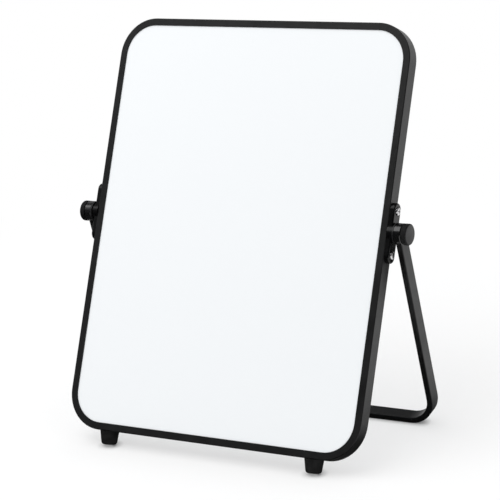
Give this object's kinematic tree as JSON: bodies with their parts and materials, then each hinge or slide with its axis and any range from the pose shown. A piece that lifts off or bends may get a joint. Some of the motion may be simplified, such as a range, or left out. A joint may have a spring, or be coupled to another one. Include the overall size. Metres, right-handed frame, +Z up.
{
  "type": "desk whiteboard easel",
  "caption": "Small double-sided magnetic whiteboard with a rounded black frame, hung between the legs of a folding U-shaped stand, with clamping side knobs and rubber feet.",
  "frame": {"origin": "centre of the bounding box's bottom face, on the desk between the feet and the stand's rail", "axes": "+Z up, +X along the pivot axis to the board's right as seen from the front, +Y to the back, so the front writing face looks along -Y and up"},
  "size_m": [0.3148, 0.1766, 0.331],
  "materials": {
    "frame_coating": "matte",
    "white_steel": "gloss",
    "core": "matte",
    "bracket_plastic": "satin",
    "stand_coating": "satin",
    "hub_plastic": "satin",
    "washer_plastic": "satin",
    "knob_plastic": "satin",
    "insert_brass": "satin",
    "plated_steel": "polished",
    "bare_steel": "satin",
    "foot_rubber": "matte"
  },
  "bodies": {
    "board": {"frame_profile": "frame_coating", "frame_joiner": "bare_steel", "joiner_screws": "plated_steel", "front_sheet": "white_steel", "panel_core": "core", "rear_sheet": "white_steel", "bracket_right": "bracket_plastic", "bracket_left": "bracket_plastic", "bracket_screws_right": "plated_steel", "bracket_screws_left": "plated_steel", "bracket_nut_strip_right": "bare_steel", "bracket_nut_strip_left": "bare_steel", "pivot_insert_right": "insert_brass", "pivot_insert_left": "insert_brass", "friction_washer_right": "washer_plastic", "friction_washer_left": "washer_plastic", "foot_right": "foot_rubber", "foot_left": "foot_rubber", "foot_washer_right": "bare_steel", "foot_washer_left": "bare_steel", "foot_screw_right": "plated_steel", "foot_screw_left": "plated_steel", "foot_nut_right": "bare_steel", "foot_nut_left": "bare_steel"},
    "stand": {"stand_bar": "stand_coating", "leg_hub_right": "hub_plastic", "leg_hub_left": "hub_plastic"},
    "clamp_washer_right": {"thrust_washer_right": "plated_steel"},
    "clamp_washer_left": {"thrust_washer_left": "plated_steel"},
    "clamp_knob_right": {"knob_right": "knob_plastic", "knob_stud_right": "plated_steel"},
    "clamp_knob_left": {"knob_left": "knob_plastic", "knob_stud_left": "plated_steel"}
  },
  "joints": [
    {"name": "stand_swing", "type": "hinge", "parent": "board", "child": "stand", "pos_m": [0, 0.00553, 0.17722], "axis": [1, 0, 0], "range_deg": [-34.2, 317.4]},
    {"name": "clamp_travel_right", "type": "slide", "parent": "board", "child": "clamp_washer_right", "axis": [1, 0, 0], "range_m": [0, 0.002]},
    {"name": "clamp_turn_right", "type": "hinge", "parent": "clamp_washer_right", "child": "clamp_knob_right", "pos_m": [0, 0.00553, 0.17722], "axis": [1, 0, 0], "range_deg": [0, 720]},
    {"name": "clamp_travel_left", "type": "slide", "parent": "board", "child": "clamp_washer_left", "axis": [-1, 0, 0], "range_m": [0, 0.002]},
    {"name": "clamp_turn_left", "type": "hinge", "parent": "clamp_washer_left", "child": "clamp_knob_left", "pos_m": [0, 0.00553, 0.17722], "axis": [-1, 0, 0], "range_deg": [0, 720]}
  ],
  "couplings": [
    {"joint": "clamp_turn_right", "follows": "clamp_travel_right", "rad_per_m": 6283.2},
    {"joint": "clamp_turn_left", "follows": "clamp_travel_left", "rad_per_m": 6283.2}
  ]
}
